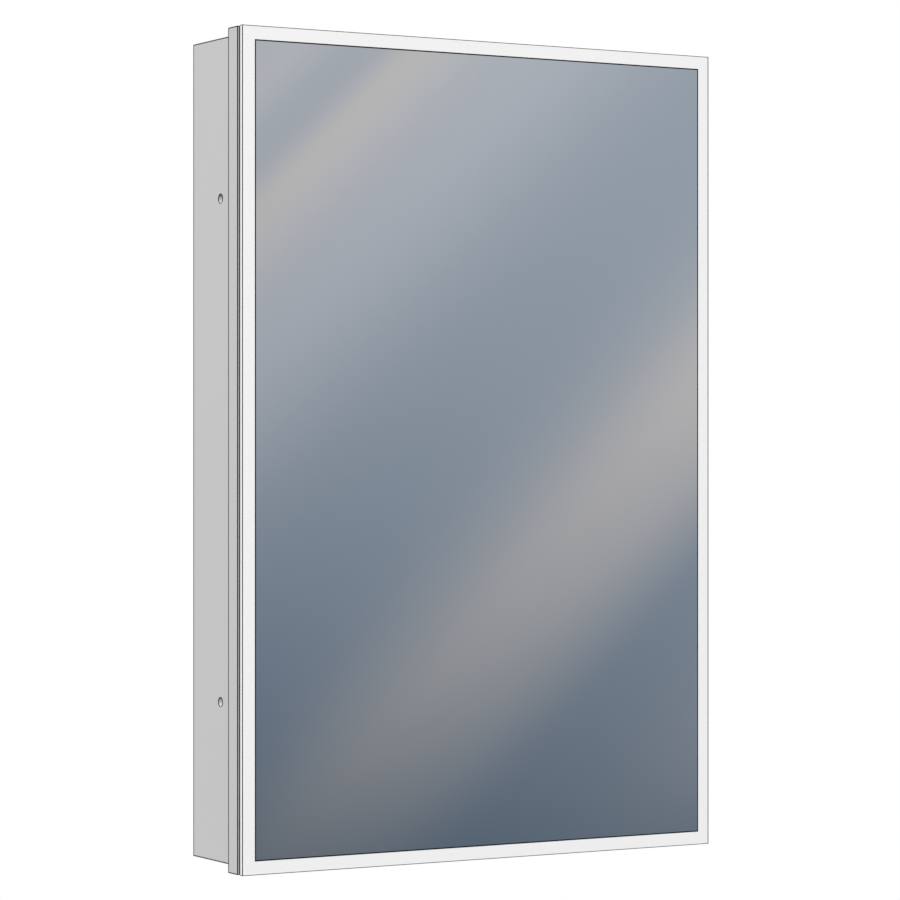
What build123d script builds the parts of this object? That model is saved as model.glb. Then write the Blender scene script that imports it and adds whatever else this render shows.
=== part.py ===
from build123d import *

import os

# Lighted mirror cabinet for a wall niche, in millimetres.
# X runs to the right seen from the front, Y runs into the wall and Z runs up.
# The origin is the centre of the body's rear face.

# Overall sizes
door_width = 504.0
door_height = 762.0
overall_depth = 113.7
door_thickness = 28.7
door_gap = 3.0
body_inset = 6.2

# Body walls, an aluminium extrusion with two chambers
wall_thickness = 14.0
wall_skin = 2.0
screw_line_depth = 57.4
screw_spacing = 458.0
screw_hole_radius = 4.15
screw_web_width = 15.4
rear_rib_depth = 3.0
back_thickness = 3.0
back_rebate = 4.0
key_leg = 46.0
inner_mirror_thickness = 3.0

# Light border, mirror and the frame profile of the door
border_width = 12.7
border_thickness = 4.7
border_leg_thickness = 1.4
border_leg_depth = 7.0
border_edge_chamfer = 0.6
gasket_setback = 0.5
shadow_gap = 2.4
lip_depth = 3.0
lip_inset = 0.4
profile_wall = 1.6
light_channel_depth = 6.4
mirror_thickness = 4.0
mirror_edge_chamfer = 0.5
glue_thickness = 0.2
carrier_thickness = 1.5
carrier_rim_depth = 8.0
ledge_width = 6.0
glass_clearance = 0.2

# Light strips
strip_width = 7.0
strip_thickness = 1.0
chip_length = 3.5
chip_width = 2.8
chip_height = 1.2
chip_pitch = 33.0
strip_end_setback = 14.0
frame_key_leg = 40.0

# Hinges
hinge_setback = 116.0
hinge_length = 60.0
knuckle_length = 24.0
knuckle_gap = 0.3
pin_radius = 2.0
pin_head_radius = 3.2
pin_head_length = 1.0
leaf_thickness = 1.8
hinge_axis_depth = 20.7
base_length = 64.0
base_screw_spacing = 42.0
leaf_screw_spacing = 14.0
hinge_screw_radius = 1.5
hinge_screw_head_radius = 2.8
hinge_screw_head_height = 1.3
base_screw_grip = 8.0
notch_clearance = 2.0

# Magnetic catches and bumpers
catch_above_shelf = 15.0
magnet_radius = 3.0
magnet_length = 9.0
magnet_flange_radius = 4.0
magnet_flange_thickness = 1.0
magnet_proud = 1.8
strike_width = 6.0
strike_length = 26.0
strike_thickness = 1.0
bumper_setback = 31.0
bumper_line = 10.4
bumper_radius = 3.5
bumper_length = 2.7
bumper_chamfer = 0.9

# Shelves and their pins
shelf_thickness = 5.0
shelf_rear_gap = 1.5
shelf_front_setback = 6.0
shelf_edge_chamfer = 0.6
shelf_side_gap = 1.8
shelf_corner_radius = 6.0
shelf_middle_level = -30.0
shelf_pitch = 165.0
pin_hole_radius = 2.5
pin_row_inset = 9.0
pin_row_rear = 28.0
pin_shank_length = 9.0
pin_spade_reach = 9.0
pin_spade_width = 10.0
pin_spade_thickness = 3.2
pin_seat_height = 2.6

# Gear compartment under the top wall
gear_height = 58.0
cover_thickness = 1.5
cover_setback = 8.0
cover_rear_gap = 0.5
bracket_length = 40.0
bracket_width = 14.0
bracket_thickness = 2.0
cover_screw_radius = 1.5
cover_screw_head_radius = 3.0
cover_screw_head_height = 1.8
cover_screw_length = 8.0
driver_length = 180.0
driver_depth = 46.0
driver_height = 30.0
driver_lug = 12.0
driver_lug_thickness = 2.5
driver_place = 20.0
driver_edge_radius = 3.0
terminal_length = 34.0
terminal_depth = 22.0
terminal_height = 16.0
terminal_pitch = 9.0
terminal_well = 4.6
terminal_place = -110.0
inlet_place = -170.0
inlet_radius = 5.0
grommet_wall = 3.0
grommet_flange_radius = 12.0
grommet_flange_thickness = 2.0
grommet_nose = 6.0
grommet_chamfer = 1.2

# Push buttons in the gear cover
button_place = 165.0
button_spacing = 26.0
button_radius = 8.0
button_clearance = 0.3
button_proud = 3.0
button_flange_radius = 9.5
button_flange_thickness = 1.5
button_travel = 1.5
button_chamfer = 0.8
switch_length = 58.0
switch_width = 24.0
switch_depth = 16.0
switch_wall = 2.0
button_stem_radius = 3.0
button_stem_length = 6.0

# Shared clearances
running_fit = 0.05
seat_fit = 0.1
loose_fit = 0.3

# Levels along the depth
door_front = -overall_depth
door_back = door_front + door_thickness
body_front = door_back + door_gap
body_depth = -body_front

# Outlines worked out from the overall sizes
body_width = door_width - 2 * body_inset
body_height = door_height - 2 * body_inset
inner_width = body_width - 2 * wall_thickness
inner_height = body_height - 2 * wall_thickness
inner_top = inner_height / 2
hinge_height = door_height / 2 - hinge_setback
bumper_height = door_height / 2 - bumper_setback
shelf_lower_level = shelf_middle_level - shelf_pitch
shelf_upper_level = shelf_middle_level + shelf_pitch
shelf_levels = [shelf_lower_level, shelf_middle_level, shelf_upper_level]
catch_height = shelf_upper_level + catch_above_shelf
screw_line = screw_line_depth - door_thickness - door_gap
front_chamber_end = screw_line - screw_web_width / 2
rear_chamber_start = screw_line + screw_web_width / 2
rear_chamber_end = body_depth - back_thickness - rear_rib_depth

# Levels of the door's section, counted back from its front face
profile_front = border_thickness + shadow_gap
web_front = profile_front + light_channel_depth
web_back = web_front + profile_wall
carrier_front = mirror_thickness + glue_thickness
carrier_back = carrier_front + carrier_thickness
rear_wall_front = door_thickness - profile_wall
ledge_back = door_thickness - mirror_thickness - glue_thickness
ledge_front = ledge_back - profile_wall
inner_wall_outer = border_width + glass_clearance
inner_wall_inner = inner_wall_outer + profile_wall

# The hinge axis, counted in from the door's edge
knuckle_radius = pin_radius + running_fit + leaf_thickness
tongue_outer = body_inset + wall_skin + seat_fit
tongue_inner = tongue_outer + leaf_thickness
hinge_axis_inset = tongue_inner - knuckle_radius
hinge_x = door_width / 2 - hinge_axis_inset
hinge_y = door_front + hinge_axis_depth
base_middle = door_width / 2 - (tongue_outer + body_inset + wall_thickness) / 2
catch_x = door_width / 2 - body_inset - wall_skin - magnet_radius - loose_fit
bumper_x = door_width / 2 - bumper_line

# Gear compartment
gear_bottom = inner_top - gear_height
gear_middle = (inner_top + gear_bottom) / 2
cover_front = body_front + cover_setback
cover_back = -back_thickness - cover_rear_gap
bracket_bottom = gear_bottom + cover_thickness
bracket_middle = (cover_front + cover_back) / 2
bracket_screw_height = bracket_bottom + bracket_width * 0.6
cover_screw_place = inner_width / 2 - bracket_width * 0.6
driver_middle = (cover_front + cover_back) / 2
driver_reach = driver_length / 2 + driver_lug / 2
driver_screw_places = (driver_place - driver_reach, driver_place + driver_reach)
button_places = (button_place - button_spacing / 2, button_place + button_spacing / 2)


def front_plane(x, y, z):
    """A plane that faces the front, with its X to the right and its Y up."""
    return Plane((x, y, z), x_dir=(1, 0, 0), z_dir=(0, -1, 0))


def edge_plane(side, width, height, level):
    """Section plane of one edge: its X runs inward, its Y runs back and its Z runs along the edge."""
    if side == "left":
        return Plane((-width / 2, level, 0), x_dir=(1, 0, 0), z_dir=(0, 0, 1))
    if side == "right":
        return Plane((width / 2, level, 0), x_dir=(-1, 0, 0), z_dir=(0, 0, -1))
    if side == "top":
        return Plane((0, level, height / 2), x_dir=(0, 0, -1), z_dir=(1, 0, 0))
    return Plane((0, level, -height / 2), x_dir=(0, 0, 1), z_dir=(-1, 0, 0))


def screw_pair(end, spacing):
    """Heights of two screws that lie this far apart on the upper or lower hinge."""
    return [end * hinge_height + step * spacing / 2 for step in (-1, 1)]


def edge_length(side, width, height):
    """Length of one edge of a rectangle."""
    return height if side in ("left", "right") else width


def mitre_plane(plane, length, end):
    """Cutting plane of a mitred end. What lies below it stays."""
    corner = plane.origin + plane.z_dir * (end * length / 2)
    return Plane(corner, x_dir=plane.y_dir, z_dir=plane.z_dir * end + plane.x_dir)


def rectangle_between(low, high, mode=Mode.ADD):
    """A rectangle given by two opposite corners."""
    with Locations(((low[0] + high[0]) / 2, (low[1] + high[1]) / 2)):
        Rectangle(high[0] - low[0], high[1] - low[1], mode=mode)


def box_between(low, high, mode=Mode.ADD):
    """A box given by two opposite corners."""
    with Locations(tuple((low[i] + high[i]) / 2 for i in range(3))):
        Box(high[0] - low[0], high[1] - low[1], high[2] - low[2], mode=mode)


def write(part, name):
    """Label one finished piece and write its file."""
    part.label = name
    export_step(part, f"parts/{name}.step")


def body_wall(side):
    """One hollow wall of the body, mitred at both ends."""
    plane = edge_plane(side, body_width, body_height, body_front)
    length = edge_length(side, body_width, body_height)
    with BuildPart() as wall:
        with BuildSketch(plane):
            with BuildLine():
                Polyline(
                    (0, 0),
                    (wall_thickness, 0),
                    (wall_thickness, body_depth - back_thickness),
                    (wall_thickness - back_rebate, body_depth - back_thickness),
                    (wall_thickness - back_rebate, body_depth),
                    (0, body_depth),
                    close=True,
                )
            make_face()
            rectangle_between(
                (wall_skin, wall_skin),
                (wall_thickness - wall_skin, front_chamber_end),
                Mode.SUBTRACT,
            )
            rectangle_between(
                (wall_skin, rear_chamber_start),
                (wall_thickness - wall_skin, rear_chamber_end),
                Mode.SUBTRACT,
            )
        extrude(amount=length / 2, both=True)
        for end in (-1, 1):
            split(bisect_by=mitre_plane(plane, length, end), keep=Keep.BOTTOM)
    return wall.part


def cut_side_wall(blank, direction):
    """Holes of a side wall: wall screws, shelf pins, and the hinge or catch recesses."""
    inner_face = direction * (body_width / 2 - wall_thickness)
    outer_face = direction * body_width / 2
    facing = Plane((inner_face, 0, 0), x_dir=(0, 1, 0), z_dir=(-direction, 0, 0))
    flip = facing.y_dir.Z
    with BuildPart() as wall:
        add(blank)
        with BuildSketch(facing):
            with Locations([(body_front + screw_line, flip * end * screw_spacing / 2) for end in (-1, 1)]):
                Circle(screw_hole_radius)
        extrude(amount=-wall_thickness, mode=Mode.SUBTRACT)
        with BuildSketch(facing):
            rows = (body_front + pin_row_inset, -pin_row_rear)
            with Locations([(row, flip * level) for row in rows for level in shelf_levels]):
                Circle(pin_hole_radius)
            with Locations((bracket_middle, flip * bracket_screw_height)):
                Circle(cover_screw_radius + seat_fit)
        extrude(amount=-wall_skin, mode=Mode.SUBTRACT)
        for end in (-1, 1):
            if direction > 0:
                box_between(
                    (inner_face, body_front, end * hinge_height - base_length / 2 - seat_fit),
                    (
                        outer_face - wall_skin,
                        body_front + front_chamber_end,
                        end * hinge_height + base_length / 2 + seat_fit,
                    ),
                    Mode.SUBTRACT,
                )
                with BuildSketch(front_plane(base_middle, body_front + front_chamber_end, 0)):
                    with Locations([(0, z) for z in screw_pair(end, base_screw_spacing)]):
                        Circle(hinge_screw_radius + running_fit)
                extrude(amount=-base_screw_grip - seat_fit, mode=Mode.SUBTRACT)
            else:
                with BuildSketch(front_plane(-catch_x, body_front, end * catch_height)):
                    Circle(magnet_radius + seat_fit)
                extrude(amount=-wall_skin, mode=Mode.SUBTRACT)
    return wall.part


def corner_keys(width, height, span, leg, levels):
    """Four L-shaped keys that hold mitred corners together."""
    low, high = span
    middle = (levels[0] + levels[1]) / 2
    with BuildPart() as keys:
        for right in (-1, 1):
            for up in (-1, 1):
                corner = Plane(
                    (right * width / 2, middle, up * height / 2),
                    x_dir=(-right, 0, 0),
                    z_dir=(0, -right * up, 0),
                )
                with BuildSketch(corner):
                    with BuildLine():
                        Polyline(
                            (low, low),
                            (leg, low),
                            (leg, high),
                            (high, high),
                            (high, leg),
                            (low, leg),
                            close=True,
                        )
                    make_face()
                extrude(amount=(levels[1] - levels[0]) / 2, both=True)
    return keys.part


def frame_bar(side):
    """One bar of the door's frame: light channel in front, hollow chamber behind, ledge for the glass."""
    plane = edge_plane(side, door_width, door_height, door_front)
    length = edge_length(side, door_width, door_height)
    lip_back = profile_front + lip_depth
    with BuildPart() as bar:
        with BuildSketch(plane):
            with BuildLine():
                Polyline(
                    (lip_inset, profile_front),
                    (profile_wall, profile_front),
                    (profile_wall, web_front),
                    (inner_wall_outer, web_front),
                    (inner_wall_outer, carrier_back),
                    (inner_wall_inner, carrier_back),
                    (inner_wall_inner, ledge_front),
                    (inner_wall_inner + ledge_width, ledge_front),
                    (inner_wall_inner + ledge_width, ledge_back),
                    (inner_wall_inner, ledge_back),
                    (inner_wall_inner, door_thickness),
                    (0, door_thickness),
                    (0, lip_back),
                    (lip_inset, lip_back),
                    close=True,
                )
            make_face()
            rectangle_between(
                (profile_wall, web_back),
                (inner_wall_outer, rear_wall_front),
                Mode.SUBTRACT,
            )
        extrude(amount=length / 2, both=True)
        for end in (-1, 1):
            split(bisect_by=mitre_plane(plane, length, end), keep=Keep.BOTTOM)
    return bar.part


def ring(inset, levels):
    """A flat ring of the door's outline, between two insets and two levels behind the front."""
    with BuildSketch(front_plane(0, door_front + levels[0], 0)) as outline:
        Rectangle(door_width - 2 * inset[0], door_height - 2 * inset[0])
        Rectangle(door_width - 2 * inset[1], door_height - 2 * inset[1], mode=Mode.SUBTRACT)
    extrude(outline.sketch, amount=levels[0] - levels[1])


def pane(inset, levels):
    """A flat sheet of the door's outline at one inset, between two levels behind the front."""
    with BuildSketch(front_plane(0, door_front + levels[0], 0)) as outline:
        Rectangle(door_width - 2 * inset, door_height - 2 * inset)
    extrude(outline.sketch, amount=levels[0] - levels[1])


def countersunk_screw(place, direction, length):
    """A countersunk screw with its head's face at the given place, pointing along the direction."""
    upright = Vector(0, 0, 1)
    section = Plane(place, x_dir=upright, z_dir=upright.cross(Vector(direction)))
    with BuildSketch(section) as profile:
        with BuildLine():
            Polyline(
                (0, 0),
                (hinge_screw_head_radius, 0),
                (hinge_screw_radius, hinge_screw_head_height),
                (hinge_screw_radius, length),
                (0, length),
                close=True,
            )
        make_face()
    revolve(profile.sketch, axis=Axis(place, direction))


def pan_screw(place, direction, length):
    """A pan-head screw whose head rests on the given place, pointing along the direction."""
    with BuildSketch(Plane(place, z_dir=direction)) as shank:
        Circle(cover_screw_radius)
    extrude(shank.sketch, amount=length)
    with BuildSketch(Plane(place, z_dir=direction)) as head:
        Circle(cover_screw_head_radius)
    extrude(head.sketch, amount=-cover_screw_head_height)


os.makedirs("parts", exist_ok=True)

# Body walls
with BuildPart() as body_wall_top:
    add(body_wall("top"))
    with BuildSketch(Plane((0, 0, inner_top))):
        with Locations([(x, driver_middle) for x in driver_screw_places]):
            Circle(cover_screw_radius + seat_fit)
    extrude(amount=wall_skin, mode=Mode.SUBTRACT)
write(body_wall_top.part, "body_wall_top")
write(body_wall("bottom"), "body_wall_bottom")
write(cut_side_wall(body_wall("left"), -1), "body_wall_left")
write(cut_side_wall(body_wall("right"), 1), "body_wall_right")


# Keys inside the mitred corners of the body, one pair of legs in each chamber
key_span = (wall_skin + loose_fit, wall_thickness - wall_skin - loose_fit)
with BuildPart() as body_corner_keys:
    for chamber in ((wall_skin, front_chamber_end), (rear_chamber_start, rear_chamber_end)):
        levels = (body_front + chamber[0] + loose_fit, body_front + chamber[1] - loose_fit)
        add(corner_keys(body_width, body_height, key_span, key_leg, levels))
write(body_corner_keys.part, "body_corner_keys")

# Back panel, let into the rebate of the walls
back_width = inner_width + 2 * (back_rebate - seat_fit)
back_height = inner_height + 2 * (back_rebate - seat_fit)
with BuildPart() as back_panel:
    with BuildSketch(front_plane(0, 0, 0)):
        Rectangle(back_width, back_height)
        with Locations((inlet_place, gear_middle)):
            Circle(inlet_radius + grommet_wall + seat_fit, mode=Mode.SUBTRACT)
    extrude(amount=back_thickness)
write(back_panel.part, "back_panel")

# Grommet of the cable inlet, with its flange inside
with BuildPart() as cable_grommet:
    with BuildSketch(front_plane(inlet_place, 0, gear_middle)):
        Circle(inlet_radius + grommet_wall)
    extrude(amount=back_thickness + grommet_nose)
    with BuildSketch(front_plane(inlet_place, -back_thickness, gear_middle)):
        Circle(grommet_flange_radius)
    extrude(amount=grommet_flange_thickness)
    with BuildSketch(front_plane(inlet_place, 0, gear_middle)):
        Circle(inlet_radius)
    extrude(amount=back_thickness + grommet_nose, mode=Mode.SUBTRACT)
    rim = cable_grommet.edges().filter_by(GeomType.CIRCLE).group_by(Axis.Y)[0]
    chamfer(rim.sort_by(SortBy.RADIUS)[-1], grommet_chamfer)
write(cable_grommet.part, "cable_grommet")

# Mirror on the back panel, below the gear compartment
mirror_low = -inner_top + loose_fit
mirror_high = gear_bottom - loose_fit
inner_mirror_front = -back_thickness - inner_mirror_thickness
with BuildPart() as inner_mirror:
    with BuildSketch(front_plane(0, -back_thickness, (mirror_low + mirror_high) / 2)):
        Rectangle(inner_width - 2 * loose_fit, mirror_high - mirror_low)
    extrude(amount=inner_mirror_thickness)
write(inner_mirror.part, "inner_mirror")

# Glass shelves on four pins each
shelf_back = inner_mirror_front - shelf_rear_gap
shelf_front = body_front + shelf_front_setback
shelf_width = inner_width - 2 * shelf_side_gap
for name, level in zip(("lower", "middle", "upper"), shelf_levels):
    with BuildPart() as shelf:
        with BuildSketch(Plane((0, (shelf_front + shelf_back) / 2, level + pin_seat_height))):
            Rectangle(shelf_width, shelf_back - shelf_front)
            fillet(vertices().group_by(Axis.Y)[0], shelf_corner_radius)
        extrude(amount=shelf_thickness)
        chamfer(shelf.edges().filter_by(Axis.X).group_by(Axis.Y)[0], shelf_edge_chamfer)
    write(shelf.part, f"shelf_{name}")

# A shelf pin: a round shank in the wall and a flat spade under the glass
with BuildPart() as one_pin:
    with BuildSketch(Plane.YZ):
        Circle(pin_hole_radius - seat_fit)
    extrude(amount=-pin_shank_length)
    box_between(
        (0, -pin_spade_width / 2, pin_seat_height - pin_spade_thickness),
        (pin_spade_reach, pin_spade_width / 2, pin_seat_height),
    )
with BuildPart() as shelf_pins:
    for level in shelf_levels:
        for row in (body_front + pin_row_inset, -pin_row_rear):
            with Locations(Location((-inner_width / 2, row, level))):
                add(one_pin.part)
            with Locations(Location((inner_width / 2, row, level), (0, 0, 180))):
                add(one_pin.part)
write(shelf_pins.part, "shelf_pins")

# Gear cover, an angle that closes the compartment below and in front
with BuildPart() as gear_cover:
    with BuildSketch(Plane.YZ):
        with BuildLine():
            Polyline(
                (cover_front, gear_bottom),
                (cover_back, gear_bottom),
                (cover_back, bracket_bottom),
                (cover_front + cover_thickness, bracket_bottom),
                (cover_front + cover_thickness, inner_top - loose_fit),
                (cover_front, inner_top - loose_fit),
                close=True,
            )
        make_face()
    extrude(amount=inner_width / 2 - loose_fit, both=True)
    with BuildSketch(front_plane(0, cover_front, gear_middle)):
        with Locations([(x, 0) for x in button_places]):
            Circle(button_radius + button_clearance)
    extrude(amount=-cover_thickness, mode=Mode.SUBTRACT)
    with BuildSketch(Plane((0, bracket_middle, gear_bottom))):
        with Locations([(x, 0) for x in (-cover_screw_place, cover_screw_place)]):
            Circle(cover_screw_radius + seat_fit)
    extrude(amount=cover_thickness, mode=Mode.SUBTRACT)
    bend = gear_cover.edges().filter_by(Axis.X).group_by(Axis.Z)[0].sort_by(Axis.Y)[0]
    fillet(bend, cover_thickness / 2)
write(gear_cover.part, "gear_cover")

# Brackets that carry the gear cover
with BuildPart() as cover_brackets:
    for side in (-1, 1):
        corner = Plane(
            (side * inner_width / 2, bracket_middle, bracket_bottom),
            x_dir=(-side, 0, 0),
            z_dir=(0, side, 0),
        )
        with BuildSketch(corner):
            with BuildLine():
                Polyline(
                    (0, 0),
                    (bracket_width, 0),
                    (bracket_width, bracket_thickness),
                    (bracket_thickness, bracket_thickness),
                    (bracket_thickness, bracket_width),
                    (0, bracket_width),
                    close=True,
                )
            make_face()
        extrude(amount=bracket_length / 2, both=True)
        with BuildSketch(Plane((side * cover_screw_place, bracket_middle, bracket_bottom))):
            Circle(cover_screw_radius + seat_fit)
        extrude(amount=bracket_thickness, mode=Mode.SUBTRACT)
        wall_spot = (side * inner_width / 2, bracket_middle, bracket_screw_height)
        with BuildSketch(Plane(wall_spot, z_dir=(-side, 0, 0))):
            Circle(cover_screw_radius + seat_fit)
        extrude(amount=bracket_thickness, mode=Mode.SUBTRACT)
write(cover_brackets.part, "cover_brackets")

with BuildPart() as cover_screws:
    for side in (-1, 1):
        pan_screw((side * cover_screw_place, bracket_middle, gear_bottom), (0, 0, 1), cover_screw_length)
        bracket_face = side * (inner_width / 2 - bracket_thickness)
        pan_screw((bracket_face, bracket_middle, bracket_screw_height), (side, 0, 0), cover_screw_length)
write(cover_screws.part, "cover_screws")

# Driver of the light, hung from the top wall by two lugs
with BuildPart() as led_driver:
    with BuildSketch(Plane((driver_place, driver_middle, inner_top))):
        RectangleRounded(driver_length, driver_depth, driver_edge_radius)
    extrude(amount=-driver_height)
    chamfer(led_driver.faces().sort_by(Axis.Z)[0].edges(), driver_edge_radius / 2)
    with BuildSketch(Plane((0, driver_middle, inner_top))):
        with Locations([(x, 0) for x in driver_screw_places]):
            Rectangle(driver_lug + driver_edge_radius, driver_depth / 2)
    extrude(amount=-driver_lug_thickness)
    with BuildSketch(Plane((0, driver_middle, inner_top))):
        with Locations([(x, 0) for x in driver_screw_places]):
            Circle(cover_screw_radius + seat_fit)
    extrude(amount=-driver_lug_thickness, mode=Mode.SUBTRACT)
write(led_driver.part, "led_driver")

with BuildPart() as driver_screws:
    for x in driver_screw_places:
        pan_screw((x, driver_middle, inner_top - driver_lug_thickness), (0, 0, 1), cover_screw_length)
write(driver_screws.part, "driver_screws")

# Terminal block for the supply, with its screw wells facing down
with BuildPart() as terminal_block:
    with BuildSketch(Plane((terminal_place, driver_middle, inner_top))):
        Rectangle(terminal_length, terminal_depth)
    extrude(amount=-terminal_height)
    with BuildSketch(Plane((terminal_place, driver_middle, inner_top - terminal_height))):
        with GridLocations(terminal_pitch, terminal_depth / 2, 3, 2):
            Rectangle(terminal_well, terminal_well)
    extrude(amount=terminal_height / 2, mode=Mode.SUBTRACT)
write(terminal_block.part, "terminal_block")

# Switch housing behind the cover, and its two buttons
button_stop = cover_front + cover_thickness + seat_fit
button_end = button_stop + button_flange_thickness + button_stem_length
post_front = button_end + button_travel + seat_fit
switch_back = cover_front + cover_thickness + switch_depth
with BuildPart() as switch_housing:
    with BuildSketch(front_plane(button_place, switch_back, gear_middle)):
        RectangleRounded(switch_length, switch_width, switch_wall)
    extrude(amount=switch_depth)
    with BuildSketch(front_plane(button_place, switch_back - switch_wall, gear_middle)):
        Rectangle(switch_length - 2 * switch_wall, switch_width - 2 * switch_wall)
    extrude(amount=switch_depth - switch_wall, mode=Mode.SUBTRACT)
    with BuildSketch(front_plane(0, switch_back - switch_wall, gear_middle)):
        with Locations([(x, 0) for x in button_places]):
            Circle(button_stem_radius)
    extrude(amount=switch_back - switch_wall - post_front)
write(switch_housing.part, "switch_housing")

for name, x in zip(("power_button", "dimmer_button"), button_places):
    with BuildPart() as button:
        with BuildSketch(front_plane(x, button_end, gear_middle)):
            Circle(button_stem_radius)
        extrude(amount=button_stem_length)
        with BuildSketch(front_plane(x, button_stop + button_flange_thickness, gear_middle)):
            Circle(button_flange_radius)
        extrude(amount=button_flange_thickness)
        with BuildSketch(front_plane(x, button_stop, gear_middle)):
            Circle(button_radius)
        extrude(amount=button_proud + cover_thickness + seat_fit)
        chamfer(button.faces().sort_by(Axis.Y)[0].edges(), button_chamfer)
    write(button.part, name)

# Hinges: a base let into the body, a leaf inside the door's frame and the pin that joins them
flange_outer = inner_wall_outer - leaf_thickness
leaf_front = web_back + loose_fit
leaf_back = rear_wall_front - loose_fit
arm_front = hinge_axis_depth - knuckle_radius
leaf_screw_depth = (leaf_front + leaf_back) / 2
half_knuckle = knuckle_length / 2
outer_knuckle = hinge_length / 2 - half_knuckle - knuckle_gap
for name, end in (("lower", -1), ("upper", 1)):
    middle = end * hinge_height
    screw_spots = [(base_middle, body_front, z) for z in screw_pair(end, base_screw_spacing)]
    with BuildPart() as hinge_base:
        box_between(
            (inner_width / 2, body_front, middle - base_length / 2),
            (
                door_width / 2 - tongue_outer,
                body_front + front_chamber_end - seat_fit,
                middle + base_length / 2,
            ),
        )
        box_between(
            (door_width / 2 - tongue_inner, hinge_y, middle - half_knuckle),
            (door_width / 2 - tongue_outer, body_front, middle + half_knuckle),
        )
        with BuildSketch(Plane((hinge_x, hinge_y, middle - half_knuckle))):
            Circle(knuckle_radius)
        extrude(amount=knuckle_length)
        with BuildSketch(Plane((hinge_x, hinge_y, middle - half_knuckle))):
            Circle(pin_radius + running_fit)
        extrude(amount=knuckle_length, mode=Mode.SUBTRACT)
        for spot in screw_spots:
            with Locations(Location(spot, (90, 0, 0))):
                CounterSinkHole(hinge_screw_radius + running_fit, hinge_screw_head_radius + running_fit)
    write(hinge_base.part, f"hinge_base_{name}")

    with BuildPart() as hinge_leaf:
        box_between(
            (door_width / 2 - inner_wall_outer, door_front + leaf_front, middle - hinge_length / 2),
            (door_width / 2 - flange_outer, door_front + leaf_back, middle + hinge_length / 2),
        )
        for low in (middle - hinge_length / 2, middle + half_knuckle + knuckle_gap):
            box_between(
                (door_width / 2 - inner_wall_outer, door_front + arm_front, low),
                (hinge_x, door_front + arm_front + leaf_thickness, low + outer_knuckle),
            )
            with BuildSketch(Plane((hinge_x, hinge_y, low))):
                Circle(knuckle_radius)
            extrude(amount=outer_knuckle)
        with BuildSketch(Plane((hinge_x, hinge_y, middle - hinge_length / 2))):
            Circle(pin_radius + running_fit)
        extrude(amount=hinge_length, mode=Mode.SUBTRACT)
        for z in screw_pair(end, leaf_screw_spacing):
            head_face = (door_width / 2 - flange_outer, door_front + leaf_screw_depth, z)
            with Locations(Location(head_face, (0, 90, 0))):
                CounterSinkHole(hinge_screw_radius + running_fit, hinge_screw_head_radius + running_fit)
    write(hinge_leaf.part, f"hinge_leaf_{name}")

    with BuildPart() as hinge_pin:
        with BuildSketch(Plane((hinge_x, hinge_y, middle - hinge_length / 2))):
            Circle(pin_radius)
        extrude(amount=hinge_length)
        with BuildSketch(Plane((hinge_x, hinge_y, middle + hinge_length / 2))):
            Circle(pin_head_radius)
        extrude(amount=pin_head_length)
    write(hinge_pin.part, f"hinge_pin_{name}")

# Door frame, mitred at its corners
for side in ("left", "top", "bottom"):
    write(frame_bar(side), f"door_frame_{side}")
with BuildPart() as door_frame_right:
    add(frame_bar("right"))
    for end in (-1, 1):
        reach = hinge_length / 2 + notch_clearance
        box_between(
            (door_width / 2 - flange_outer, door_front + web_back, end * hinge_height - reach),
            (door_width / 2, door_back, end * hinge_height + reach),
            Mode.SUBTRACT,
        )
        screw_face = (door_width / 2 - inner_wall_outer, door_front + leaf_screw_depth, 0)
        with BuildSketch(Plane(screw_face, x_dir=(0, 1, 0), z_dir=(1, 0, 0))):
            with Locations([(0, z) for z in screw_pair(end, leaf_screw_spacing)]):
                Circle(hinge_screw_radius + running_fit)
        extrude(amount=-profile_wall, mode=Mode.SUBTRACT)
write(door_frame_right.part, "door_frame_right")

key_span = (profile_wall + loose_fit, inner_wall_outer - loose_fit)
key_levels = (door_front + web_back + loose_fit, door_front + rear_wall_front - loose_fit)
write(corner_keys(door_width, door_height, key_span, frame_key_leg, key_levels), "frame_corner_keys")

# Light border, a ring of opal plastic with two legs that stand in the frame's channel
leg_levels = (border_thickness, border_thickness + border_leg_depth)
outer_leg = profile_wall + glass_clearance
with BuildPart() as light_border:
    ring((0, border_width), (0, border_thickness))
    ring((outer_leg, outer_leg + border_leg_thickness), leg_levels)
    ring((border_width - border_leg_thickness, border_width), leg_levels)
    front_edges = light_border.faces().sort_by(Axis.Y)[0].outer_wire().edges()
    chamfer(front_edges, border_edge_chamfer)
write(light_border.part, "light_border")

# Dark gasket, set back in the gap between the border and the frame
with BuildPart() as shadow_gasket:
    ring((lip_inset + gasket_setback, profile_wall + seat_fit), (border_thickness, profile_front))
write(shadow_gasket.part, "shadow_gasket")

with BuildPart() as mirror_glass:
    pane(inner_wall_outer, (0, mirror_thickness))
    chamfer(mirror_glass.faces().sort_by(Axis.Y)[0].edges(), mirror_edge_chamfer)
write(mirror_glass.part, "mirror_glass")

# Carrier pan behind the mirror, located by its rim inside the frame
rim_outer = inner_wall_inner + glass_clearance
with BuildPart() as mirror_carrier:
    pane(inner_wall_outer, (carrier_front, carrier_back))
    ring((rim_outer, rim_outer + carrier_thickness), (carrier_back, carrier_back + carrier_rim_depth))
write(mirror_carrier.part, "mirror_carrier")

with BuildPart() as back_mirror:
    pane(rim_outer, (door_thickness - mirror_thickness, door_thickness))
write(back_mirror.part, "back_mirror")

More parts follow.
